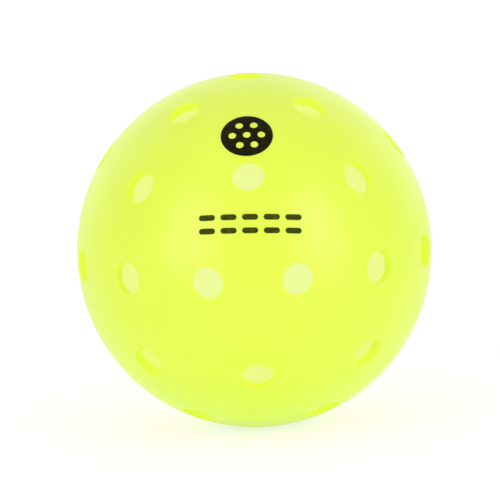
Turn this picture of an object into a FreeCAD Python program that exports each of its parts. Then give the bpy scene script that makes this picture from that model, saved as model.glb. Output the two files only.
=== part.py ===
import FreeCAD, Part
import math
import os

import Sketcher

# Hollow perforated ball for court play, in millimetres.
#
# Two moulded half shells meet in a stepped rim, a ring of melted plastic joins them, and two
# thin prints lie on the outside.  The origin is the ball's centre.  +Z leaves through the middle
# of one hole, and -Y is the printed front.
#
# The holes lie on three great circles at right angles, every circle_step degrees, and one more
# sits in the middle of each of the eight triangles that the circles leave.

DRIVING_SIZES = {
    # shell
    "outer_radius": 37.0,
    "wall": 1.85,
    "hole_radius": 3.4,
    "edge_round": 0.2,
    "circle_step": 30.0,
    # stepped rim and its weld
    "tongue_wall": 0.9,
    "tongue_depth": 1.2,
    "rim_clearance": 0.05,
    "melt_gap": 0.25,
    "bead_radius": 0.45,
    # prints
    "ink": 0.04,
    "disc_radius": 5.4,
    "disc_height": 50.5,
    "dot_radius": 0.8,
    "dot_circle": 3.0,
    "dot_count": 6.0,
    "dash_length": 3.3,
    "dash_width": 1.2,
    "dash_spacing": 4.45,
    "row_spacing": 2.8,
    "dash_columns": 5.0,
    "dash_rows": 2.0,
    "dash_height": 19.0,
    "dash_lean": 2.0,
}

ORIGIN = FreeCAD.Vector(0, 0, 0)
UP = FreeCAD.Vector(0, 0, 1)
SKETCH_NORMAL = FreeCAD.Vector(0, 0, 1)
SKETCH_UP = FreeCAD.Vector(0, 1, 0)

# Sketcher's names for a sketch's own axes, its origin and the ends of an edge
X_AXIS, Y_AXIS = -1, -2
START, END, CENTRE = 1, 2, 3
SKETCH_ORIGIN = (X_AXIS, START)

# how far a cutting tool runs past the face that it cuts
CLEAR = 3.0


def make_sheet(doc):
    """Puts each driving size in its own cell, under its name."""
    sheet = doc.addObject("Spreadsheet::Sheet", "Sizes")
    for row, (name, value) in enumerate(DRIVING_SIZES.items(), start=1):
        sheet.set(f"A{row}", name)
        sheet.set(f"B{row}", str(value))
        sheet.setAlias(f"B{row}", name)
    doc.recompute()
    return sheet


# ---------------------------------------------------------------------------
# Layout of the holes
# ---------------------------------------------------------------------------


def circle_axes():
    """The three directions, at right angles, in which the great circles cross."""
    side = math.sqrt(0.5)
    return [FreeCAD.Vector(-side, -side, 0), FreeCAD.Vector(side, -side, 0), UP]


def hole_directions(sheet):
    """Unit vectors from the centre through every hole."""
    step = math.radians(sheet.circle_step)
    axes = circle_axes()
    ends = [axis * sign for axis in axes for sign in (1, -1)]
    along_circles = [
        one * math.cos(step) + other * math.sin(step)
        for one in ends
        for other in ends
        if abs(one.dot(other)) < 0.5
    ]
    between_circles = [
        (axes[0] * i + axes[1] * j + axes[2] * k) / math.sqrt(3)
        for i in (1, -1)
        for j in (1, -1)
        for k in (1, -1)
    ]
    return ends + along_circles + between_circles


def front_pole():
    """The middle of the triangle between the front crossings, where the front half has its pole.

    A plane square to it passes between the holes, so no hole lies on the rim.
    """
    return sum(circle_axes(), FreeCAD.Vector()) / math.sqrt(3)


def first_third(directions):
    """Of the directions in one half, the one hole at the pole and one of each set of three."""
    pole, others = None, []
    for direction in directions:
        turn = math.degrees(math.atan2(direction.y, direction.x)) % 360
        if direction.z > 0.999:
            pole = direction
        elif direction.z > 0 and turn < 120:
            others.append(direction)
    return pole, others


# ---------------------------------------------------------------------------
# Sketching
# ---------------------------------------------------------------------------


def origin_feature(body, role):
    """The body's own plane or axis of that role."""
    return next(item for item in body.Origin.OriginFeatures if item.Role == role)


def sketch_in(body, name, direction=UP):
    """A sketch through the body's Z axis, turned until its upward axis points along direction."""
    sketch = body.newObject("Sketcher::SketchObject", name)
    sketch.AttachmentSupport = (origin_feature(body, "XZ_Plane"), "")
    sketch.MapMode = "FlatFace"
    body.Document.recompute()
    wanted = sketch.Placement.Rotation.inverted().multVec(direction)
    turn = FreeCAD.Rotation(SKETCH_UP, wanted)
    sketch.AttachmentOffset = FreeCAD.Placement(ORIGIN, turn)
    return sketch


def point(x, y):
    """A place in a sketch."""
    return FreeCAD.Vector(x, y, 0)


def line(start, end):
    """A straight edge of a sketch."""
    return Part.LineSegment(point(*start), point(*end))


def arc(centre, radius, start_angle, end_angle):
    """An edge of a sketch that runs anticlockwise between two angles, in radians."""
    circle = Part.Circle(point(*centre), SKETCH_NORMAL, radius)
    return Part.ArcOfCircle(circle, start_angle, end_angle)


def join_ends(sketch, joints):
    """Makes pairs of edge ends coincide."""
    for first, second in joints:
        sketch.addConstraint(Sketcher.Constraint("Coincident", *first, *second))


def constrain(sketch, kind, *places):
    """Adds a constraint that has no size."""
    sketch.addConstraint(Sketcher.Constraint(kind, *places))


def dimension(sketch, name, kind, places, value, formula):
    """Adds a named dimension and binds it to the sheet."""
    index = sketch.addConstraint(Sketcher.Constraint(kind, *places, value))
    sketch.renameConstraint(index, name)
    sketch.setExpression(f"Constraints.{name}", formula)


def vertical_axis(sketch):
    """The axis that a revolved feature turns its sketch about."""
    return (sketch, ["V_Axis"])


# ---------------------------------------------------------------------------
# Half shells
# ---------------------------------------------------------------------------


def draw_half_section(sketch, sheet, step_height, step_formula, lap_radius, lap_formula):
    """The wall of a half shell from its pole to its stepped rim."""
    outer, inner = sheet.outer_radius, sheet.outer_radius - sheet.wall
    rise = math.asin(step_height / inner)
    inner_end = inner * math.cos(rise)
    outside, pole, inside, step, lap, rim = sketch.addGeometry(
        [
            arc((0, 0), outer, 0, math.pi / 2),
            line((0, outer), (0, inner)),
            arc((0, 0), inner, rise, math.pi / 2),
            line((inner_end, step_height), (lap_radius, step_height)),
            line((lap_radius, step_height), (lap_radius, 0)),
            line((lap_radius, 0), (outer, 0)),
        ]
    )
    join_ends(
        sketch,
        [
            ((outside, END), (pole, START)),
            ((pole, END), (inside, END)),
            ((inside, START), (step, START)),
            ((step, END), (lap, START)),
            ((lap, END), (rim, START)),
            ((rim, END), (outside, START)),
            ((outside, CENTRE), SKETCH_ORIGIN),
            ((inside, CENTRE), SKETCH_ORIGIN),
        ],
    )
    constrain(sketch, "PointOnObject", pole, START, Y_AXIS)
    constrain(sketch, "PointOnObject", pole, END, Y_AXIS)
    constrain(sketch, "PointOnObject", rim, START, X_AXIS)
    constrain(sketch, "PointOnObject", rim, END, X_AXIS)
    constrain(sketch, "Horizontal", step)
    constrain(sketch, "Vertical", lap)
    dimension(sketch, "outer_radius", "Radius", (outside,), outer, "Sizes.outer_radius")
    dimension(
        sketch, "inner_radius", "Radius", (inside,), inner, "Sizes.outer_radius - Sizes.wall"
    )
    dimension(
        sketch, "lap_radius", "DistanceX", (*SKETCH_ORIGIN, lap, END), lap_radius, lap_formula
    )
    dimension(
        sketch,
        "step_height",
        "DistanceY",
        (*SKETCH_ORIGIN, step, END),
        step_height,
        step_formula,
    )


def draw_hole(sketch, sheet):
    """Half the section of a hole's cutter: a straight wall and a rounded outer edge.

    The round is tangent to the wall and to the outside of the ball, and the axis is vertical.
    """
    radius, edge = sheet.hole_radius, sheet.edge_round
    outer, inner = sheet.outer_radius, sheet.outer_radius - sheet.wall
    bottom = inner - CLEAR
    edge_x = radius + edge
    edge_y = math.sqrt((outer - edge) ** 2 - edge_x**2)
    tangent = math.atan2(edge_y, edge_x)
    rim = (outer * math.cos(tangent), outer * math.sin(tangent))
    top_radius = outer + CLEAR
    top = (top_radius * math.cos(tangent), top_radius * math.sin(tangent))
    floor, wall, round_edge, flare, roof, axis = sketch.addGeometry(
        [
            line((0, bottom), (radius, bottom)),
            line((radius, bottom), (radius, edge_y)),
            arc((edge_x, edge_y), edge, tangent, math.pi),
            line(rim, top),
            line(top, (0, top[1])),
            line((0, top[1]), (0, bottom)),
        ]
    )
    join_ends(
        sketch,
        [
            ((axis, END), (floor, START)),
            ((floor, END), (wall, START)),
            ((round_edge, START), (flare, START)),
            ((flare, END), (roof, START)),
            ((roof, END), (axis, START)),
        ],
    )
    constrain(sketch, "Tangent", wall, END, round_edge, END)
    constrain(sketch, "PointOnObject", axis, START, Y_AXIS)
    constrain(sketch, "PointOnObject", axis, END, Y_AXIS)
    constrain(sketch, "Horizontal", floor)
    constrain(sketch, "Vertical", wall)
    constrain(sketch, "Horizontal", roof)
    constrain(sketch, "PointOnObject", *SKETCH_ORIGIN, flare)
    constrain(sketch, "PointOnObject", round_edge, CENTRE, flare)
    dimension(
        sketch, "hole_radius", "DistanceX", (*SKETCH_ORIGIN, wall, START), radius, "Sizes.hole_radius"
    )
    dimension(sketch, "edge_round", "Radius", (round_edge,), edge, "Sizes.edge_round")
    dimension(
        sketch,
        "ball_radius",
        "Distance",
        (*SKETCH_ORIGIN, flare, START),
        outer,
        "Sizes.outer_radius",
    )
    dimension(
        sketch,
        "top_radius",
        "Distance",
        (*SKETCH_ORIGIN, flare, END),
        top_radius,
        f"Sizes.outer_radius + {CLEAR}",
    )
    dimension(
        sketch,
        "bottom",
        "DistanceY",
        (*SKETCH_ORIGIN, floor, START),
        bottom,
        f"Sizes.outer_radius - Sizes.wall - {CLEAR}",
    )


def cut_hole(body, sheet, name, direction):
    """Drills one hole, square to the wall, and checks that it took plastic away."""
    before = body.Shape.Volume
    sketch = sketch_in(body, f"{name}_section", direction)
    draw_hole(sketch, sheet)
    groove = body.newObject("PartDesign::Groove", name)
    groove.Profile = sketch
    groove.ReferenceAxis = vertical_axis(sketch)
    groove.Angle = 360
    body.Document.recompute()
    if body.Shape.Volume > before - 1:
        raise RuntimeError(f"{name} cut nothing")
    return groove


def make_half_shell(doc, sheet, label, pole, step, lap):
    """A half shell whose own Z axis is its pole.

    step and lap are each a pair, a value and its formula: the height of the rim's step above the
    parting plane, and the radius at which the rim steps.
    """
    body = doc.addObject("PartDesign::Body", label)
    body.Label = label
    turn = FreeCAD.Rotation(UP, pole)
    section = sketch_in(body, f"{label}_section")
    draw_half_section(section, sheet, *step, *lap)
    shell = body.newObject("PartDesign::Revolution", f"{label}_wall")
    shell.Profile = section
    shell.ReferenceAxis = vertical_axis(section)
    shell.Angle = 360
    doc.recompute()

    own_directions = [turn.inverted().multVec(d) for d in hole_directions(sheet)]
    pole_hole, one_of_three = first_third(own_directions)
    cut_hole(body, sheet, f"{label}_pole_hole", pole_hole)
    grooves = [
        cut_hole(body, sheet, f"{label}_hole_{number}", direction)
        for number, direction in enumerate(one_of_three, start=1)
    ]
    pattern = body.newObject("PartDesign::PolarPattern", f"{label}_thirds")
    pattern.Originals = grooves
    pattern.Axis = (origin_feature(body, "Z_Axis"), [""])
    pattern.Angle = 360
    pattern.Occurrences = 3
    body.Tip = pattern
    doc.recompute()
    body.Placement = FreeCAD.Placement(ORIGIN, turn)
    return body


def make_shells(doc, sheet):
    """The front half with its tongue, and the rear half with the rebate that takes it."""
    pole = front_pole()
    lap_radius = sheet.outer_radius - sheet.wall + sheet.tongue_wall
    lap_formula = "Sizes.outer_radius - Sizes.wall + Sizes.tongue_wall"
    tongue = (-sheet.tongue_depth, "-Sizes.tongue_depth")
    rebate = (sheet.tongue_depth + sheet.melt_gap, "Sizes.tongue_depth + Sizes.melt_gap")
    front = make_half_shell(
        doc, sheet, "front_half_shell", pole, tongue, (lap_radius, lap_formula)
    )
    rear = make_half_shell(
        doc,
        sheet,
        "rear_half_shell",
        pole * -1,
        rebate,
        (lap_radius + sheet.rim_clearance, f"{lap_formula} + Sizes.rim_clearance"),
    )
    return [front, rear]


# ---------------------------------------------------------------------------
# Weld
# ---------------------------------------------------------------------------


def draw_weld(sketch, sheet):
    """The melted web between tongue and rebate, and the bead that it left on the inner wall."""
    inner = sheet.outer_radius - sheet.wall
    lap_radius = inner + sheet.tongue_wall
    top, bottom = -sheet.tongue_depth, -sheet.tongue_depth - sheet.melt_gap
    middle = (top + bottom) / 2
    bead = sheet.bead_radius
    middle_x = math.sqrt(inner**2 - middle**2)
    # the bead's circle crosses the inner wall at this angle above and below its own centre
    spread = 2 * math.asin(bead / (2 * inner))
    centre_angle = math.asin(middle / inner)
    angles = {
        "bead_top": centre_angle + spread,
        "web_top": math.asin(top / inner),
        "web_bottom": math.asin(bottom / inner),
        "bead_bottom": centre_angle - spread,
    }
    on_wall = {
        name: (inner * math.cos(angle), inner * math.sin(angle)) for name, angle in angles.items()
    }

    def seen_from_bead(place):
        return math.atan2(place[1] - middle, place[0] - middle_x) % (2 * math.pi)

    web_top, upper_wall, bulge, lower_wall, web_bottom, web_end = sketch.addGeometry(
        [
            line((lap_radius, top), on_wall["web_top"]),
            arc((0, 0), inner, angles["web_top"], angles["bead_top"]),
            arc(
                (middle_x, middle),
                bead,
                seen_from_bead(on_wall["bead_top"]),
                seen_from_bead(on_wall["bead_bottom"]),
            ),
            arc((0, 0), inner, angles["bead_bottom"], angles["web_bottom"]),
            line(on_wall["web_bottom"], (lap_radius, bottom)),
            line((lap_radius, bottom), (lap_radius, top)),
        ]
    )
    join_ends(
        sketch,
        [
            ((web_top, END), (upper_wall, START)),
            ((upper_wall, END), (bulge, START)),
            ((bulge, END), (lower_wall, START)),
            ((lower_wall, END), (web_bottom, START)),
            ((web_bottom, END), (web_end, START)),
            ((web_end, END), (web_top, START)),
            ((upper_wall, CENTRE), SKETCH_ORIGIN),
            ((lower_wall, CENTRE), SKETCH_ORIGIN),
        ],
    )
    constrain(sketch, "Horizontal", web_top)
    constrain(sketch, "Horizontal", web_bottom)
    constrain(sketch, "Vertical", web_end)
    constrain(sketch, "Equal", upper_wall, lower_wall)
    dimension(
        sketch, "inner_radius", "Radius", (upper_wall,), inner, "Sizes.outer_radius - Sizes.wall"
    )
    dimension(sketch, "bead_radius", "Radius", (bulge,), bead, "Sizes.bead_radius")
    dimension(
        sketch,
        "lap_radius",
        "DistanceX",
        (*SKETCH_ORIGIN, web_end, END),
        lap_radius,
        "Sizes.outer_radius - Sizes.wall + Sizes.tongue_wall",
    )
    dimension(
        sketch, "web_top", "DistanceY", (*SKETCH_ORIGIN, web_end, END), top, "-Sizes.tongue_depth"
    )
    dimension(
        sketch,
        "web_bottom",
        "DistanceY",
        (*SKETCH_ORIGIN, web_end, START),
        bottom,
        "-(Sizes.tongue_depth + Sizes.melt_gap)",
    )
    dimension(
        sketch,
        "bead_height",
        "DistanceY",
        (*SKETCH_ORIGIN, bulge, CENTRE),
        middle,
        "-(Sizes.tongue_depth + Sizes.melt_gap / 2)",
    )
    dimension(
        sketch,
        "bead_place",
        "Distance",
        (*SKETCH_ORIGIN, bulge, CENTRE),
        inner,
        "Sizes.outer_radius - Sizes.wall",
    )


def make_weld_ring(doc, sheet):
    """The ring of melted plastic that holds the two halves together."""
    body = doc.addObject("PartDesign::Body", "weld_ring")
    body.Label = "weld_ring"
    section = sketch_in(body, "weld_section")
    draw_weld(section, sheet)
    ring = body.newObject("PartDesign::Revolution", "weld_turned")
    ring.Profile = section
    ring.ReferenceAxis = vertical_axis(section)
    ring.Angle = 360
    doc.recompute()
    body.Placement = FreeCAD.Placement(ORIGIN, FreeCAD.Rotation(UP, front_pole()))
    return body


# ---------------------------------------------------------------------------
# Prints
# ---------------------------------------------------------------------------


def make_ink_skin(doc, name):
    """A skin of ink all over the ball, from which a print is cut."""
    wet = doc.addObject("Part::Sphere", f"{name}_outside")
    wet.setExpression("Radius", "Sizes.outer_radius + Sizes.ink")
    ball = doc.addObject("Part::Sphere", f"{name}_inside")
    ball.setExpression("Radius", "Sizes.outer_radius")
    skin = doc.addObject("Part::Cut", f"{name}_skin")
    skin.Base = wet
    skin.Tool = ball
    return skin


def print_placement(height, lean, distance):
    """Where a printing stamp faces the ball.

    The stamp is height degrees up the front of the ball and turned clockwise by lean degrees.
    Its own X axis runs to the right, and its Z axis points outwards.
    """
    stand = FreeCAD.Rotation(FreeCAD.Vector(1, 0, 0), 90 - height)
    turned = stand.multiply(FreeCAD.Rotation(UP, -lean))
    return FreeCAD.Placement(turned.multVec(UP) * distance, turned)


def make_print(doc, label, draw, sheet, height, lean):
    """Stamps a drawing on the ball: what the ink skin and the pushed-out drawing share."""
    depth = 2 * CLEAR
    sketch = doc.addObject("Sketcher::SketchObject", f"{label}_drawing")
    sketch.Placement = print_placement(height, lean, sheet.outer_radius - CLEAR)
    draw(sketch, sheet)
    stamp = doc.addObject("Part::Extrusion", f"{label}_stamp")
    stamp.Base = sketch
    stamp.DirMode = "Normal"
    stamp.LengthFwd = depth
    stamp.Solid = True
    ink = doc.addObject("Part::Common", label)
    ink.Label = label
    ink.Base = make_ink_skin(doc, label)
    ink.Tool = stamp
    doc.recompute()
    return ink


def draw_disc(sketch, sheet):
    """A disc with one bare dot in its middle and a ring of bare dots round it."""
    edge = sketch.addGeometry(Part.Circle(point(0, 0), SKETCH_NORMAL, sheet.disc_radius))
    constrain(sketch, "Coincident", edge, CENTRE, *SKETCH_ORIGIN)
    dimension(sketch, "disc_radius", "Radius", (edge,), sheet.disc_radius, "Sizes.disc_radius")
    count = int(sheet.dot_count)
    turns = [number * 360 / count for number in range(count)]
    places = [(0, 0)] + [
        (
            sheet.dot_circle * math.cos(math.radians(turn)),
            sheet.dot_circle * math.sin(math.radians(turn)),
        )
        for turn in turns
    ]
    dots = [
        sketch.addGeometry(Part.Circle(point(*place), SKETCH_NORMAL, sheet.dot_radius))
        for place in places
    ]
    constrain(sketch, "Coincident", dots[0], CENTRE, *SKETCH_ORIGIN)
    dimension(sketch, "dot_radius", "Radius", (dots[0],), sheet.dot_radius, "Sizes.dot_radius")
    for number, (dot, turn, place) in enumerate(zip(dots[1:], turns, places[1:]), start=1):
        constrain(sketch, "Equal", dots[0], dot)
        centre = (*SKETCH_ORIGIN, dot, CENTRE)
        for way, kind, function, value in (
            ("x", "DistanceX", "cos", place[0]),
            ("y", "DistanceY", "sin", place[1]),
        ):
            formula = f"Sizes.dot_circle * {function}({turn})"
            dimension(sketch, f"dot_{number}_{way}", kind, centre, value, formula)


def draw_dash(sketch, sheet, name, column, row):
    """One round-ended dash, centred column spacings across and row spacings up."""
    radius = sheet.dash_width / 2
    reach = sheet.dash_length / 2 - radius
    x, y = column * sheet.dash_spacing, row * sheet.row_spacing
    left, right, top, bottom = x - reach, x + reach, y + radius, y - radius
    left_end, right_end, upper, lower = sketch.addGeometry(
        [
            arc((left, y), radius, math.pi / 2, 3 * math.pi / 2),
            arc((right, y), radius, -math.pi / 2, math.pi / 2),
            line((left, top), (right, top)),
            line((left, bottom), (right, bottom)),
        ]
    )
    constrain(sketch, "Tangent", upper, START, left_end, START)
    constrain(sketch, "Tangent", upper, END, right_end, END)
    constrain(sketch, "Tangent", lower, START, left_end, END)
    constrain(sketch, "Tangent", lower, END, right_end, START)
    constrain(sketch, "Horizontal", upper)
    constrain(sketch, "Equal", left_end, right_end)
    dimension(sketch, f"{name}_round", "Radius", (left_end,), radius, "Sizes.dash_width / 2")
    for side, end, value, sign in (("left", left_end, left, "-"), ("right", right_end, right, "+")):
        dimension(
            sketch,
            f"{name}_{side}",
            "DistanceX",
            (*SKETCH_ORIGIN, end, CENTRE),
            value,
            f"{column} * Sizes.dash_spacing {sign} (Sizes.dash_length - Sizes.dash_width) / 2",
        )
    dimension(
        sketch,
        f"{name}_level",
        "DistanceY",
        (*SKETCH_ORIGIN, left_end, CENTRE),
        y,
        f"{row} * Sizes.row_spacing",
    )


def draw_dashes(sketch, sheet):
    """Rows of dashes, centred on the sketch's origin."""
    columns, rows = int(sheet.dash_columns), int(sheet.dash_rows)
    for row in range(rows):
        for column in range(columns):
            draw_dash(
                sketch,
                sheet,
                f"dash_{row}_{column}",
                column - (columns - 1) / 2,
                row - (rows - 1) / 2,
            )


def make_prints(doc, sheet):
    """The round print high on the front, and the dashed rows across it."""
    disc = make_print(doc, "printed_disc", draw_disc, sheet, sheet.disc_height, 0)
    dashes = make_print(
        doc, "printed_dashes", draw_dashes, sheet, sheet.dash_height, sheet.dash_lean
    )
    return [disc, dashes]


# ---------------------------------------------------------------------------
# Checks and files
# ---------------------------------------------------------------------------


def check_document(doc, pieces):
    """Stops if any object failed to build or any piece isn't a sound solid."""
    for item in doc.Objects:
        if "Invalid" in item.State or "Error" in item.State:
            raise RuntimeError(f"{item.Name} did not build: {item.State}")
    for piece in pieces:
        if piece.Shape.isNull() or not piece.Shape.isValid() or not piece.Shape.Solids:
            raise RuntimeError(f"{piece.Label} is not a valid solid")


def write_parts(pieces):
    """Writes one STEP file for each piece, named after it."""
    os.makedirs("parts", exist_ok=True)
    for piece in pieces:
        piece.Shape.exportStep(f"parts/{piece.Label}.step")
        print(
            f"{piece.Label}: {len(piece.Shape.Solids)} solids, "
            f"{piece.Shape.Volume:.1f} cubic mm, {len(piece.Shape.Faces)} faces"
        )


def main():
    """Builds the ball."""
    doc = FreeCAD.newDocument("perforated_ball")
    sheet = make_sheet(doc)
    pieces = make_shells(doc, sheet) + [make_weld_ring(doc, sheet)] + make_prints(doc, sheet)
    doc.recompute()
    check_document(doc, pieces)
    write_parts(pieces)


main()
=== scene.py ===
"""Looks of a hollow perforated court ball: two moulded half shells, their weld and two prints.

Everything is in metres, in the frame of the construction model.  The origin is the centre of
the ball, +Z leaves through the middle of the top hole, and -Y is the printed front.
"""

import logging
import math
from dataclasses import dataclass, field, replace
from enum import Enum
from itertools import product

import bpy
import numpy as np
from mathutils import Matrix, Vector
from mathutils.geometry import delaunay_2d_cdt


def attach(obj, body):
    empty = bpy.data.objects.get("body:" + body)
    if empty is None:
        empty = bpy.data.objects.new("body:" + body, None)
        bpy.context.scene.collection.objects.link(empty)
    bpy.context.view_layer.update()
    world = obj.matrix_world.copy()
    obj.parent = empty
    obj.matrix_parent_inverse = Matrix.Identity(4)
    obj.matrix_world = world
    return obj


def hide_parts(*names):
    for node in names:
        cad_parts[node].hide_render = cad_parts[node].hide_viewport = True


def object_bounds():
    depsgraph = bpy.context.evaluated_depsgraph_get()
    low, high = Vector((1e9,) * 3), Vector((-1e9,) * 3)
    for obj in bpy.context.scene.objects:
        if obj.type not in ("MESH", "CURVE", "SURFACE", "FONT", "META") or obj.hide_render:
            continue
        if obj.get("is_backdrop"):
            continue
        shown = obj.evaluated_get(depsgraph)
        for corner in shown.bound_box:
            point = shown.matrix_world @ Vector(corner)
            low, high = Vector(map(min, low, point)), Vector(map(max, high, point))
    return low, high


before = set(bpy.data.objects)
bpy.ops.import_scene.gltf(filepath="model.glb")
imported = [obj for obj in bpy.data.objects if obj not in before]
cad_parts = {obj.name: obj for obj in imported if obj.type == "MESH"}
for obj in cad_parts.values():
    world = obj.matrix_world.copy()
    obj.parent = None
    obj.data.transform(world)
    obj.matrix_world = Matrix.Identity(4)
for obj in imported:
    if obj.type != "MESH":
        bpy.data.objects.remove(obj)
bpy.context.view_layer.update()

log = logging.getLogger("ball")

MM = 0.001
WHITE = (1.0, 1.0, 1.0)
# the range that most of a noise lies in
NOISE_RANGE = (0.3, 0.7)
PLASTIC_IOR = 1.5
GOLDEN_ANGLE = math.pi * (3 - math.sqrt(5))
Colour = tuple[float, float, float]
Span = tuple[float, float]
Socket = bpy.types.NodeSocket
Setting = float | Colour | Socket
Owner = bpy.types.Material | bpy.types.World


class Half(Enum):
    """The two mouldings, and the construction node that each one stands for."""

    FRONT = "front_half_shell"
    REAR = "rear_half_shell"

    @property
    def side(self) -> int:
        """+1 for the half round the front pole, -1 for the other."""
        return 1 if self is Half.FRONT else -1


class Surface(Enum):
    """The kinds of face on a half shell, each with a finish of its own."""

    OUTSIDE = 0
    HOLE_WALL = 1
    INSIDE = 2


@dataclass(frozen=True)
class BallSizes:
    """The ball's driving dimensions, in metres."""

    outer_radius: float = 37.0 * MM
    wall: float = 1.85 * MM
    hole_radius: float = 3.4 * MM
    outer_edge: float = 0.2 * MM
    inner_edge: float = 0.12 * MM
    tongue_wall: float = 0.9 * MM
    tongue_depth: float = 1.2 * MM
    rim_clearance: float = 0.05 * MM
    melt_gap: float = 0.25 * MM
    seam_edge: float = 0.05 * MM

    @property
    def inner_radius(self) -> float:
        """Radius of the hollow."""
        return self.outer_radius - self.wall

    def step_height(self, half: Half) -> float:
        """Height of the rim's step above the parting plane.

        Args:
            half: the half that has the rim.

        Returns:
            The height towards that half's own pole, so a tongue's end is below zero.
        """
        if half is Half.FRONT:
            return -self.tongue_depth
        return self.tongue_depth + self.melt_gap

    def lap_radius(self, half: Half) -> float:
        """Radius at which a half's rim steps."""
        tongue = self.inner_radius + self.tongue_wall
        return tongue if half is Half.FRONT else tongue + self.rim_clearance


@dataclass(frozen=True)
class HoleLayout:
    """Where the holes are: along three great circles at right angles, and between them.

    Every circle has a hole each circle_step, and every one of the eight triangles that the
    circles leave has a hole in its middle.
    """

    circle_step: float = math.radians(30)

    def crossings(self) -> list[Vector]:
        """Three ways in which the circles cross: front left, front right and up."""
        side = math.sqrt(0.5)
        return [Vector((-side, -side, 0)), Vector((side, -side, 0)), Vector((0, 0, 1))]

    def directions(self) -> list[Vector]:
        """Finds every hole.

        Returns:
            Unit vectors from the ball's centre through the holes: the crossings, then the other
            holes along the circles, then those between them.
        """
        axes = self.crossings()
        ends = [axis * sign for axis in axes for sign in (1, -1)]
        near, far = math.cos(self.circle_step), math.sin(self.circle_step)
        along = [
            ends[first] * near + ends[second] * far
            for first, second in product(range(len(ends)), repeat=2)
            if first // 2 != second // 2
        ]
        between = [
            sum((axis * sign for axis, sign in zip(axes, signs)), Vector()).normalized()
            for signs in product((1, -1), repeat=3)
        ]
        return ends + along + between

    def pole(self) -> Vector:
        """The middle of the front triangle, where the front half has its pole."""
        return sum(self.crossings(), Vector()).normalized()


@dataclass(frozen=True)
class Ring:
    """A closed ring of a mesh's points, by number, and the surface's normal at each."""

    numbers: np.ndarray
    normals: np.ndarray

    def facing(self, normals: np.ndarray) -> "Ring":
        """The same points as the edge of another surface."""
        return Ring(self.numbers, normals)


@dataclass
class MeshDraft:
    """Points and faces of a mesh that is still being put together."""

    points: list[np.ndarray] = field(default_factory=list)
    faces: list[tuple[int, ...]] = field(default_factory=list)
    surfaces: list[int] = field(default_factory=list)
    corner_normals: list[np.ndarray] = field(default_factory=list)
    count: int = 0

    def add_points(self, points: np.ndarray) -> np.ndarray:
        """Adds points.

        Args:
            points: one row for each point.

        Returns:
            The points' numbers in the draft.
        """
        self.points.append(points)
        first, self.count = self.count, self.count + len(points)
        return np.arange(first, self.count)

    def add_faces(self, faces: np.ndarray, normals: np.ndarray, surface: Surface) -> None:
        """Adds faces of one kind of surface.

        Args:
            faces: a row of point numbers for each face.
            normals: the normal at each of those corners, of any length.
            surface: the kind of surface.
        """
        self.faces.extend(map(tuple, faces.tolist()))
        self.surfaces.extend([surface.value] * len(faces))
        lengths = np.linalg.norm(normals, axis=-1, keepdims=True)
        self.corner_normals.append((normals / lengths).reshape(-1, 3))

    def bridge(self, ring: Ring, following: Ring, surface: Surface) -> None:
        """Joins two rings by a band of four-sided faces.

        Args:
            ring: one edge of the band.
            following: the other edge, with as many points.
            surface: the kind of surface.
        """
        faces, normals = (
            np.stack((first, np.roll(first, -1, 0), np.roll(second, -1, 0), second), axis=1)
            for first, second in (
                (ring.numbers, following.numbers),
                (ring.normals, following.normals),
            )
        )
        self.add_faces(faces, normals, surface)

    def finish(self, name: str) -> bpy.types.Object:
        """Makes the mesh.

        Args:
            name: the new object's name.

        Returns:
            The object, linked to the scene.
        """
        mesh = bpy.data.meshes.new(name)
        mesh.from_pydata(np.concatenate(self.points).tolist(), [], self.faces)
        if mesh.validate():
            raise RuntimeError(f"{name} has faces that are not sound")
        mesh.polygons.foreach_set("material_index", self.surfaces)
        mesh.polygons.foreach_set("use_smooth", [True] * len(self.faces))
        mesh.normals_split_custom_set(np.concatenate(self.corner_normals).tolist())
        piece = bpy.data.objects.new(name, mesh)
        bpy.context.scene.collection.objects.link(piece)
        return piece


def ring_directions(axis: Vector, opening: float, count: int) -> np.ndarray:
    """Unit vectors evenly spaced on a cone.

    Args:
        axis: the cone's axis.
        opening: the angle between the axis and the cone.
        count: how many vectors.

    Returns:
        One row for each vector, anticlockwise as seen from the axis's tip.
    """
    across, onward = axis_basis(axis)
    turn = np.arange(count) * (2 * math.pi / count)
    flat = np.outer(np.cos(turn), across) + np.outer(np.sin(turn), onward)
    return np.array(axis) * math.cos(opening) + flat * math.sin(opening)


def axis_basis(axis: Vector) -> tuple[np.ndarray, np.ndarray]:
    """Returns two unit vectors at right angles to an axis and to each other."""
    across = axis.orthogonal().normalized()
    return np.array(across), np.array(axis.cross(across))


def even_directions(count: int) -> np.ndarray:
    """Spreads unit vectors evenly over a sphere, on a golden-angle spiral.

    Args:
        count: how many vectors.

    Returns:
        One row for each vector.
    """
    step = np.arange(count) + 0.5
    height = 1 - 2 * step / count
    turn = step * GOLDEN_ANGLE
    across = np.sqrt(1 - height**2)
    return np.column_stack((across * np.cos(turn), across * np.sin(turn), height))


def angles_to(directions: np.ndarray, axis: Vector) -> np.ndarray:
    """Returns the angle between each direction and an axis."""
    return np.arccos(np.clip(directions @ np.array(axis), -1, 1))


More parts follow.
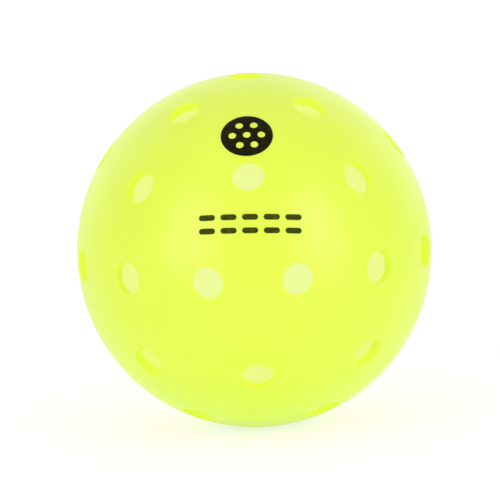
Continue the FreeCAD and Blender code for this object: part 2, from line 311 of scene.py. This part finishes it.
@dataclass
class HalfShell:
    """One moulded half of the ball, with its holes and its stepped rim."""

    half: Half
    sizes: BallSizes
    layout: HoleLayout
    hole_points: int = 72
    rim_points: int = 264
    rim_collar_points: int = 180
    mouth_steps: int = 5
    throat_steps: int = 4
    spacing: float = 1.25 * MM
    # how much of the spacing is kept between the evenly spread points and the collars
    fill_gap: float = 0.6
    # rings of points round each hole, as distances from its edge and as shares of hole_points
    collars: tuple[Span, ...] = ((0.25 * MM, 1.0), (0.6 * MM, 0.75), (1.2 * MM, 0.5))
    # points closer than this on the flat map count as one
    merge_distance: float = 1e-9

    @property
    def pole(self) -> Vector:
        """The direction of this half's middle."""
        return self.layout.pole() * self.half.side

    @property
    def collar_reach(self) -> float:
        """How far the widest collar stands from its edge."""
        return self.collars[-1][0]

    def holes(self) -> list[Vector]:
        """Returns the directions of this half's own holes."""
        return [way for way in self.layout.directions() if way.dot(self.pole) > 0]

    def build(self) -> bpy.types.Object:
        """Makes the half shell's mesh: both of its skins, its hole walls and its rim.

        Returns:
            The new piece, with no finish yet.
        """
        draft = MeshDraft()
        sizes = self.sizes
        outer_rings, outer_rim = self.cover(
            draft, sizes.outer_radius, -sizes.outer_edge, sizes.seam_edge, Surface.OUTSIDE
        )
        inner_rings, inner_rim = self.cover(
            draft,
            sizes.inner_radius,
            sizes.inner_edge,
            sizes.step_height(self.half),
            Surface.INSIDE,
        )
        for way, outer, inner in zip(self.holes(), outer_rings, inner_rings):
            self.line_hole(draft, way, outer, inner)
        self.close_rim(draft, outer_rim, inner_rim)
        return draft.finish(f"{self.half.value}_moulding")

    def dress(self, shell: bpy.types.Object, skins: list[bpy.types.Material]) -> None:
        """Gives the half shell its finishes and its place among the pieces.

        Args:
            shell: the piece that build made.
            skins: a finish for each kind of surface, in the order of Surface.
        """
        for skin in skins:
            shell.data.materials.append(skin)
        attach(shell, "root")
        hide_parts(self.half.value)

    def edge_opening(self, radius: float, edge: float) -> float:
        """Returns the angle from a hole's axis at which its edge's round meets a skin."""
        return math.asin((self.sizes.hole_radius + abs(edge)) / (radius + edge))

    def cover(
        self,
        draft: MeshDraft,
        radius: float,
        edge: float,
        rim_height: float,
        surface: Surface,
    ) -> tuple[list[Ring], Ring]:
        """Covers one skin with triangles, from the pole to the rim and up to every hole.

        The points are spread over the sphere and joined on its stereographic map, where a
        circle stays a circle and well-shaped triangles stay well shaped.

        Args:
            draft: the mesh to add to.
            radius: the skin's radius.
            edge: the radius of the round at the holes, negative where it lies inside the skin.
            rim_height: height of the skin's rim above the parting plane.
            surface: the skin's kind.

        Returns:
            The points on each hole's edge, and those on the rim.
        """
        opening = self.edge_opening(radius, edge)
        rim_angle = math.acos(rim_height / radius)
        holes = self.holes()
        edges = [ring_directions(way, opening, self.hole_points) for way in holes]
        rim = self.rim_directions(rim_angle)
        collars = [
            ring_directions(way, opening + gap / radius, round(self.hole_points * share))
            for way in holes
            for gap, share in self.collars
        ]
        rim_collar = ring_directions(
            self.pole, rim_angle - self.collar_reach / radius, self.rim_collar_points
        )
        fill = self.fill_directions(radius, opening, rim_angle)
        groups = [*edges, rim, *collars, rim_collar, fill]
        directions = np.concatenate(groups)
        starts = np.cumsum([0] + [len(group) for group in groups])
        loops = [np.arange(starts[i], starts[i + 1]) for i in range(len(holes) + 1)]
        triangles = self.triangulate(directions, loops)
        numbers, normals = draft.add_points(directions * radius), directions
        if surface is Surface.INSIDE:
            triangles, normals = triangles[:, ::-1], -directions
        draft.add_faces(numbers[triangles], normals[triangles], surface)
        rings = [Ring(numbers[loop], normals[loop]) for loop in loops]
        return rings[:-1], rings[-1]

    def rim_directions(self, rim_angle: float) -> np.ndarray:
        """Spaces the rim's points evenly, with the two halves' points face to face.

        Args:
            rim_angle: the angle between the pole and the rim.

        Returns:
            One row for each point's direction.
        """
        if self.half is Half.FRONT:
            return ring_directions(self.pole, rim_angle, self.rim_points)
        return ring_directions(-self.pole, math.pi - rim_angle, self.rim_points)[::-1]

    def fill_directions(self, radius: float, opening: float, rim_angle: float) -> np.ndarray:
        """Spreads points over the skin, clear of its holes and of its rim.

        Args:
            radius: the skin's radius.
            opening: the angle between a hole's axis and its edge.
            rim_angle: the angle between the pole and the rim.

        Returns:
            One row for each point's direction.
        """
        area = 4 * math.pi * radius**2
        cell = self.spacing**2 * math.sin(math.radians(60))
        directions = even_directions(round(area / cell))
        margin = (self.collar_reach + self.fill_gap * self.spacing) / radius
        keep = angles_to(directions, self.pole) < rim_angle - margin
        for way in self.holes():
            keep &= angles_to(directions, way) > opening + margin
        return directions[keep]

    def triangulate(self, directions: np.ndarray, loops: list[np.ndarray]) -> np.ndarray:
        """Joins directions into triangles.

        Args:
            directions: one row for each point of the skin.
            loops: the numbers of the points round each hole, and last those round the rim.

        Returns:
            One row of three numbers for each triangle, anticlockwise from outside.
        """
        across, onward = axis_basis(self.pole)
        height = directions @ np.array(self.pole)
        flat = np.column_stack((directions @ across, directions @ onward))
        flat /= (1 + height)[:, None]
        edges = [pair for loop in loops for pair in zip(loop.tolist(), np.roll(loop, -1).tolist())]
        places = [Vector(place) for place in flat.tolist()]
        kept, _, faces, *_ = delaunay_2d_cdt(places, edges, [], 0, self.merge_distance)
        if len(kept) != len(directions):
            raise RuntimeError("the skin's points did not all stay apart")
        triangles = np.array(faces)
        hole_of = np.full(len(directions), -1)
        for number, loop in enumerate(loops[:-1]):
            hole_of[loop] = number
        corner_holes = hole_of[triangles]
        in_hole = (corner_holes[:, 0] >= 0) & (corner_holes == corner_holes[:, :1]).all(axis=1)
        return triangles[~in_hole]

    def line_hole(self, draft: MeshDraft, way: Vector, outer: Ring, inner: Ring) -> None:
        """Lines one hole: a round at each mouth and a straight wall between them.

        The outer round is moulded with the skin and has its finish.

        Args:
            draft: the mesh to add to.
            way: the hole's direction.
            outer: the edge of the outer skin.
            inner: the edge of the inner skin.
        """
        sizes = self.sizes
        mouth = self.edge_round(sizes.outer_radius, -sizes.outer_edge, self.mouth_steps)
        throat = self.edge_round(sizes.inner_radius, sizes.inner_edge, self.throat_steps)
        top, bottom = mouth[-1][1], throat[-1][1]
        wall = [
            (sizes.hole_radius, top + (bottom - top) * share, 1.0, 0.0)
            for share in (1 / 3, 2 / 3)
        ]
        across, onward = axis_basis(way)
        turn = np.arange(self.hole_points) * (2 * math.pi / self.hole_points)
        outward = np.outer(np.cos(turn), across) + np.outer(np.sin(turn), onward)
        axis = np.array(way)
        rings = [outer]
        for reach, height, normal_in, normal_up in [*mouth[1:], *wall, *throat[:0:-1]]:
            numbers = draft.add_points(outward * reach + axis * height)
            rings.append(Ring(numbers, axis * normal_up - outward * normal_in))
        rings.append(inner)
        for number, (ring, following) in enumerate(zip(rings, rings[1:]), start=1):
            surface = Surface.OUTSIDE if number < len(mouth) else Surface.HOLE_WALL
            draft.bridge(ring, following, surface)

    def edge_round(
        self, radius: float, edge: float, steps: int
    ) -> list[tuple[float, float, float, float]]:
        """The section of a rounded hole edge, from the skin to the hole's wall.

        Args:
            radius: the skin's radius.
            edge: the round's radius, negative where the round lies inside the skin.
            steps: how many straight steps the round is made of.

        Returns:
            For each point its distance from the hole's axis, its height along the axis, and
            the parts of its normal towards the axis and along it.
        """
        size = abs(edge)
        centre_out = self.sizes.hole_radius + size
        centre_up = math.sqrt((radius + edge) ** 2 - centre_out**2)
        lift = math.copysign(1, -edge)
        skin_angle = math.atan2(lift * centre_up, lift * centre_out)
        wall_angle = math.pi if lift > 0 else -math.pi
        section = []
        for step in range(steps + 1):
            angle = skin_angle + (wall_angle - skin_angle) * step / steps
            out, up = math.cos(angle), math.sin(angle)
            section.append((centre_out + size * out, centre_up + size * up, -out, up))
        return section

    def close_rim(self, draft: MeshDraft, outer: Ring, inner: Ring) -> None:
        """Closes the wall between the two skins with the rim's stepped section.

        Args:
            draft: the mesh to add to.
            outer: the edge of the outer skin.
            inner: the edge of the inner skin.
        """
        sizes = self.sizes
        lap, step = sizes.lap_radius(self.half), sizes.step_height(self.half)
        corners = [(sizes.outer_radius - sizes.seam_edge, 0.0), (lap, 0.0), (lap, step)]
        flat = (0.0, -1.0)
        facings = [(1.0, -1.0), flat, (self.half.side, 0.0), flat]
        around = ring_directions(self.layout.pole(), math.pi / 2, self.rim_points)
        if self.half is Half.REAR:
            around = around[::-1]
        pole = np.array(self.pole)
        rings = [outer]
        for reach, height in corners:
            rings.append(Ring(draft.add_points(around * reach + pole * height), around))
        rings.append(inner)
        surfaces = [Surface.OUTSIDE, Surface.INSIDE, Surface.INSIDE, Surface.INSIDE]
        for ring, following, (out, up), surface in zip(rings, rings[1:], facings, surfaces):
            normals = around * out + pole * up
            draft.bridge(following.facing(normals), ring.facing(normals), surface)


@dataclass(frozen=True)
class Graph:
    """The node tree of a material or of the surround, with short ways to add to it."""

    owner: Owner

    @classmethod
    def start(cls, owner: Owner) -> "Graph":
        """Empties a node tree, ready to be filled.

        Args:
            owner: what has the tree.

        Returns:
            The tree's graph.
        """
        owner.use_nodes = True
        owner.node_tree.nodes.clear()
        return cls(owner)

    def add(self, kind: str, **inputs: Setting) -> bpy.types.Node:
        """Adds a node.

        Args:
            kind: the node's type.
            inputs: a value or an output for each input, with _ for a space in its name.

        Returns:
            The node.
        """
        node = self.owner.node_tree.nodes.new(kind)
        for name, value in inputs.items():
            self.feed(node.inputs[name.replace("_", " ")], value)
        return node

    def feed(self, socket: Socket, value: Setting) -> None:
        """Links an output to an input, or sets the input's value.

        Args:
            socket: the input.
            value: an output, or a value.
        """
        if isinstance(value, Socket):
            self.owner.node_tree.links.new(value, socket)
        elif isinstance(value, tuple) and socket.type == "RGBA":
            socket.default_value = (*value, 1.0)
        else:
            socket.default_value = value

    def noise(self, scale: float, detail: float = 2.0) -> Socket:
        """Makes noise in the ball's own space.

        Args:
            scale: how many lumps it has in a metre.
            detail: how many finer layers lie on the lumps.

        Returns:
            The noise, mostly within NOISE_RANGE.
        """
        place = self.add("ShaderNodeTexCoord").outputs["Object"]
        node = self.add("ShaderNodeTexNoise", Vector=place, Scale=scale, Detail=detail)
        return node.outputs["Fac"]

    def spread(self, value: Socket, source: Span, target: Span = (0.0, 1.0)) -> Socket:
        """Maps the source span of a value onto the target span, and no further."""
        ends = dict(zip(("From_Min", "From_Max", "To_Min", "To_Max"), source + target))
        return self.add("ShaderNodeMapRange", Value=value, **ends).outputs["Result"]

    def mix(self, factor: Socket, first: Setting, second: Setting) -> Socket:
        """Mixes two colours.

        Args:
            factor: how much of the second colour there is.
            first: a colour, or an output that gives one.
            second: the same.

        Returns:
            The mixed colour.
        """
        node = self.add("ShaderNodeMix")
        node.data_type = "RGBA"
        # a mix of colours uses these sockets, by number because their names repeat
        for number, value in ((0, factor), (6, first), (7, second)):
            self.feed(node.inputs[number], value)
        return node.outputs[2]

    def bump(self, height: Socket, distance: float, below: Socket | None = None) -> Socket:
        """Roughens the surface.

        Args:
            height: the height, from 0 to 1.
            distance: what a height of 1 stands for, in metres.
            below: a normal that is rough already, if there is one.

        Returns:
            The roughened normal.
        """
        node = self.add("ShaderNodeBump", Height=height, Strength=1.0, Distance=distance)
        if below is not None:
            self.feed(node.inputs["Normal"], below)
        return node.outputs["Normal"]

    def shade(self, **inputs: Setting) -> bpy.types.Material:
        """Ends the graph with a Principled shader.

        Args:
            inputs: the shader's inputs, as in add.

        Returns:
            The finished material.
        """
        shader = self.add("ShaderNodeBsdfPrincipled", **inputs)
        self.add("ShaderNodeOutputMaterial", Surface=shader.outputs[0])
        return self.owner


@dataclass(frozen=True)
class MouldedPlastic:
    """Translucent coloured plastic, smooth from the mould.

    The glow is painted light: an emission that stands for the light that comes through the
    wall, which the plastic does not give off itself.  The veil is what is left of that light
    once it has passed straight through the plastic; on a slant it has further to go and less
    is left.  The veil has no gloss.
    """

    name: str
    colour: Colour
    deep_colour: Colour
    roughness: float
    scatter: float
    # painted light: an emission colour that stands for light coming through the wall
    glow: Colour = (0.0, 0.0, 0.0)
    painted_glow_strength: float = 0.0
    veil: Colour | None = None
    gloss: float = 0.5
    scatter_reach: float = 1.0 * MM
    scatter_colour: Colour = (1.0, 1.0, 0.5)
    # where the deep colour begins and ends along the plastic's flow, and in its specks
    flow_scale: float = 45.0
    flow_span: Span = (0.35, 0.65)
    speck_scale: float = 1400.0
    speck_span: Span = (0.4, 0.75)
    speck_share: float = 0.35
    polish_scale: float = 160.0
    polish_change: Span = (-0.03, 0.05)
    ripple_scale: float = 420.0
    ripple: float = 0.006 * MM
    grain_scale: float = 3200.0
    grain: float = 0.002 * MM

    def make(self) -> bpy.types.Material:
        """Makes the material.

        Returns:
            The material.
        """
        graph = Graph.start(bpy.data.materials.new(self.name))
        flow = graph.spread(graph.noise(self.flow_scale, detail=3.0), self.flow_span)
        speck = graph.spread(
            graph.noise(self.speck_scale), self.speck_span, (0.0, self.speck_share)
        )
        body = graph.mix(flow, self.colour, self.deep_colour)
        colour = graph.mix(speck, body, self.deep_colour)
        smooth, dull = (self.roughness + change for change in self.polish_change)
        polish = graph.spread(
            graph.noise(self.polish_scale, detail=4.0), NOISE_RANGE, (smooth, dull)
        )
        normal = graph.bump(graph.noise(self.ripple_scale), self.ripple)
        normal = graph.bump(graph.noise(self.grain_scale), self.grain, normal)
        return graph.shade(
            Base_Color=colour,
            Roughness=polish,
            Normal=normal,
            Subsurface_Weight=self.scatter,
            Subsurface_Radius=self.scatter_colour,
            Subsurface_Scale=self.scatter_reach,
            # painted light: this emission stands for light that comes through the wall
            Emission_Color=self.glow,
            Emission_Strength=self.painted_glow_strength,
            IOR=PLASTIC_IOR,
            Specular_IOR_Level=self.gloss,
            Coat_Weight=0.0 if self.veil is None else 1.0,
            Coat_Roughness=1.0,
            Coat_IOR=1.0,
            Coat_Tint=self.veil or WHITE,
        )


@dataclass(frozen=True)
class PadInk:
    """Ink stamped on by a soft pad: even, slightly mottled and duller than the ball."""

    name: str
    colour: Colour
    thin_colour: Colour
    roughness: float = 0.42
    gloss: float = 0.05
    mottle_scale: float = 900.0
    mottle_span: Span = (0.5, 0.72)
    polish_scale: float = 600.0
    polish_change: Span = (-0.06, 0.1)
    grain_scale: float = 2600.0
    grain: float = 0.003 * MM

    def make(self) -> bpy.types.Material:
        """Makes the material.

        Returns:
            The material.
        """
        graph = Graph.start(bpy.data.materials.new(self.name))
        thin = graph.spread(graph.noise(self.mottle_scale, detail=4.0), self.mottle_span)
        colour = graph.mix(thin, self.colour, self.thin_colour)
        smooth, dull = (self.roughness + change for change in self.polish_change)
        polish = graph.spread(
            graph.noise(self.polish_scale, detail=3.0), NOISE_RANGE, (smooth, dull)
        )
        normal = graph.bump(graph.noise(self.grain_scale, detail=3.0), self.grain)
        return graph.shade(
            Base_Color=colour,
            Roughness=polish,
            Normal=normal,
            IOR=PLASTIC_IOR,
            Specular_IOR_Level=self.gloss,
        )


@dataclass(frozen=True)
class CarriedPiece:
    """A piece that keeps its construction mesh and gets a finish of its own."""

    node: str
    finish: MouldedPlastic | PadInk

    def dress(self) -> bpy.types.Object:
        """Gives the piece its finish.

        Returns:
            The piece.
        """
        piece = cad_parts[self.node]
        piece.data.materials.clear()
        piece.data.materials.append(self.finish.make())
        return piece


@dataclass
class Ball:
    """The whole ball: both mouldings, the weld between them and the prints on the front."""

    sizes: BallSizes = field(default_factory=BallSizes)
    layout: HoleLayout = field(default_factory=HoleLayout)
    outside: MouldedPlastic = MouldedPlastic(
        name="outer_skin",
        colour=(0.775, 0.965, 0.049),
        deep_colour=(0.75, 0.95, 0.037),
        roughness=0.34,
        scatter=0.35,
        gloss=0.72,
    )
    # painted light: the hole walls' glow stands for light that comes through the thin plastic
    hole_wall: MouldedPlastic = MouldedPlastic(
        name="hole_wall",
        colour=(0.79, 0.96, 0.08),
        deep_colour=(0.77, 0.945, 0.065),
        roughness=0.4,
        scatter=0.35,
        glow=(0.88, 1.0, 0.1),
        painted_glow_strength=0.13,
    )
    # painted light: near-white colours and bluish glow stand for light coming through the wall
    inside: MouldedPlastic = MouldedPlastic(
        name="inner_skin",
        colour=(0.93, 0.95, 0.94),
        deep_colour=(0.92, 0.94, 0.91),
        roughness=0.5,
        scatter=0.2,
        glow=(0.555, 0.535, 1.0),
        painted_glow_strength=0.31,
        veil=(0.98, 1.0, 0.6),
    )
    disc_ink: PadInk = PadInk("disc_ink", (0.008, 0.0085, 0.0006), (0.02, 0.021, 0.001))
    dash_ink: PadInk = PadInk("dash_ink", (0.042, 0.055, 0.001), (0.075, 0.095, 0.003))

    @property
    def weld(self) -> MouldedPlastic:
        """The inner skin's plastic, melted and set again with a smoother face."""
        # painted light: the weld keeps the inner skin's near-white colour and glow
        return replace(self.inside, name="melted_seam", roughness=0.32)

    def build(self) -> list[bpy.types.Object]:
        """Builds the mouldings and dresses every piece.

        Returns:
            The ball's pieces.
        """
        skins = [finish.make() for finish in (self.outside, self.hole_wall, self.inside)]
        pieces = []
        for half in Half:
            moulding = HalfShell(half, self.sizes, self.layout)
            shell = moulding.build()
            moulding.dress(shell, skins)
            pieces.append(shell)
        for node, finish in (
            ("weld_ring", self.weld),
            ("printed_disc", self.disc_ink),
            ("printed_dashes", self.dash_ink),
        ):
            pieces.append(CarriedPiece(node, finish).dress())
        return pieces


@dataclass(frozen=True)
class SoftBox:
    """A rectangular lamp that faces the ball.

    It stands azimuth degrees to the right of the ball's front and elevation degrees up.  Its
    size is its width and height in metres, and its power is in watts.
    """

    name: str
    azimuth: float
    elevation: float
    size: tuple[float, float]
    power: float


@dataclass
class Studio:
    """A pale floor, a white surround, soft boxes all round and the camera."""

    centre: Vector = field(default_factory=Vector)
    boxes: tuple[SoftBox, ...] = (
        SoftBox("left_box", -44.0, 19.0, (0.34, 0.66), 1.4),
        SoftBox("right_box", 45.0, 18.0, (0.34, 0.66), 1.7),
        SoftBox("top_box", -35.0, 80.0, (1.4, 1.4), 0.6),
        SoftBox("left_back_box", -150.0, 20.0, (0.8, 0.6), 0.5),
        SoftBox("right_back_box", 150.0, 20.0, (0.8, 0.6), 0.5),
    )
    box_distance: float = 0.8
    surround_light: float = 0.63
    surround_seen: float = 1.0
    floor_reach: float = 3.0
    # how much light the floor scatters and gives off, where it is seen and where it only lights
    seen_paper: Span = (0.5, 0.62)
    unseen_paper: Span = (0.8, 0.27)
    azimuth: float = math.radians(1.0)
    elevation: float = math.radians(10.5)
    roll: float = math.radians(2.8)
    distance: float = 2.2
    picture_width: float = 104.4 * MM
    ball_right_of_middle: float = 0.9 * MM
    view_depth: float = 10.0

    def build(self) -> None:
        """Sets the stage, the light and the camera."""
        self.lay_floor()
        self.light_surround()
        for box in self.boxes:
            self.hang(box)
        self.place_camera()

    def lay_floor(self) -> None:
        """Lays a wide pale sheet under the ball."""
        low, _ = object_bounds()
        mesh = bpy.data.meshes.new("studio_floor")
        reach = self.floor_reach
        corners = [(x * reach, y * reach, low[2]) for x, y in ((-1, -1), (1, -1), (1, 1), (-1, 1))]
        mesh.from_pydata(corners, [], [(0, 1, 2, 3)])
        floor = bpy.data.objects.new("studio_floor", mesh)
        bpy.context.scene.collection.objects.link(floor)
        floor.data.materials.append(self.floor_finish())
        floor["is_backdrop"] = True

    def floor_finish(self) -> bpy.types.Material:
        """Makes white paper that keeps a shadow and still reads as white.

        Returns:
            The material.
        """
        graph = Graph.start(bpy.data.materials.new("studio_paper"))
        choice = graph.add("ShaderNodeMixShader")
        graph.feed(choice.inputs[0], self.seen_straight(graph))
        graph.feed(choice.inputs[1], self.glowing_paper(graph, *self.unseen_paper))
        graph.feed(choice.inputs[2], self.glowing_paper(graph, *self.seen_paper))
        graph.add("ShaderNodeOutputMaterial", Surface=choice.outputs[0])
        return graph.owner

    @staticmethod
    def glowing_paper(graph: Graph, whiteness: float, glow: float) -> Socket:
        """Makes paper that adds a light of its own to what it scatters.

        Args:
            graph: the floor's graph.
            whiteness: the share of the light on it that it scatters.
            glow: the light that it adds.

        Returns:
            The shader.
        """
        paper = graph.add("ShaderNodeBsdfDiffuse", Color=(whiteness,) * 3)
        lit = graph.add("ShaderNodeEmission", Color=WHITE, Strength=glow)
        both = graph.add("ShaderNodeAddShader")
        graph.feed(both.inputs[0], paper.outputs[0])
        graph.feed(both.inputs[1], lit.outputs[0])
        return both.outputs[0]

    @staticmethod
    def seen_straight(graph: Graph) -> Socket:
        """Tells the rays that show the studio from those that only carry its light.

        Args:
            graph: the floor's graph, or the surround's.

        Returns:
            1 for a ray from the camera or from a glossy or clear surface, and 0 for the rest.
        """
        path = graph.add("ShaderNodeLightPath")
        total = path.outputs["Is Camera Ray"]
        for name in ("Is Glossy Ray", "Is Transmission Ray"):
            node = graph.add("ShaderNodeMath")
            node.operation = "MAXIMUM"
            graph.feed(node.inputs[0], total)
            graph.feed(node.inputs[1], path.outputs[name])
            total = node.outputs[0]
        return total

    def light_surround(self) -> None:
        """Lights the whole surround evenly, and shows it as white."""
        graph = Graph.start(bpy.data.worlds.new("studio_surround"))
        seen = self.seen_straight(graph)
        strength = graph.spread(seen, (0.0, 1.0), (self.surround_light, self.surround_seen))
        light = graph.add("ShaderNodeBackground", Color=WHITE, Strength=strength)
        graph.add("ShaderNodeOutputWorld", Surface=light.outputs[0])
        bpy.context.scene.world = graph.owner

    def hang(self, box: SoftBox) -> None:
        """Hangs a soft box that faces the ball.

        Args:
            box: where it is, how big and how bright.
        """
        lamp = bpy.data.lights.new(box.name, "AREA")
        lamp.shape = "RECTANGLE"
        lamp.size, lamp.size_y = box.size
        lamp.energy = box.power
        stand = bpy.data.objects.new(box.name, lamp)
        away = self.direction(math.radians(box.azimuth), math.radians(box.elevation))
        stand.location = self.centre + away * self.box_distance
        stand.rotation_euler = away.to_track_quat("Z", "Y").to_euler()
        bpy.context.scene.collection.objects.link(stand)

    @staticmethod
    def direction(azimuth: float, elevation: float) -> Vector:
        """Points away from the ball.

        Args:
            azimuth: radians to the right of the ball's front.
            elevation: radians above the level.

        Returns:
            The unit vector.
        """
        level = math.cos(elevation)
        return Vector(
            (level * math.sin(azimuth), -level * math.cos(azimuth), math.sin(elevation))
        )

    def place_camera(self) -> None:
        """Stands a long lens in front of the ball, a little above it and a little tilted."""
        lens = bpy.data.cameras.new("long_lens")
        lens.lens = lens.sensor_width * self.distance / self.picture_width
        lens.clip_end = self.view_depth
        camera = bpy.data.objects.new("camera", lens)
        backward = self.direction(self.azimuth, self.elevation)
        level = Vector((math.cos(self.azimuth), math.sin(self.azimuth), 0.0))
        upright = backward.cross(level)
        right = level * math.cos(self.roll) - upright * math.sin(self.roll)
        up = upright * math.cos(self.roll) + level * math.sin(self.roll)
        turn = Matrix((right, up, backward)).transposed().to_4x4()
        aim = self.centre - right * self.ball_right_of_middle
        camera.matrix_world = Matrix.Translation(aim + backward * self.distance) @ turn
        bpy.context.scene.collection.objects.link(camera)
        bpy.context.scene.camera = camera
        bpy.context.scene.view_settings.view_transform = "Standard"


def main() -> None:
    """Builds the ball and its studio, and reports each piece."""
    logging.basicConfig(level=logging.INFO, format="%(name)s: %(message)s")
    for piece in Ball().build():
        finishes = ", ".join(material.name for material in piece.data.materials)
        log.info("%s: %d faces, finished in %s", piece.name, len(piece.data.polygons), finishes)
    Studio().build()


if __name__ == "__main__":
    main()
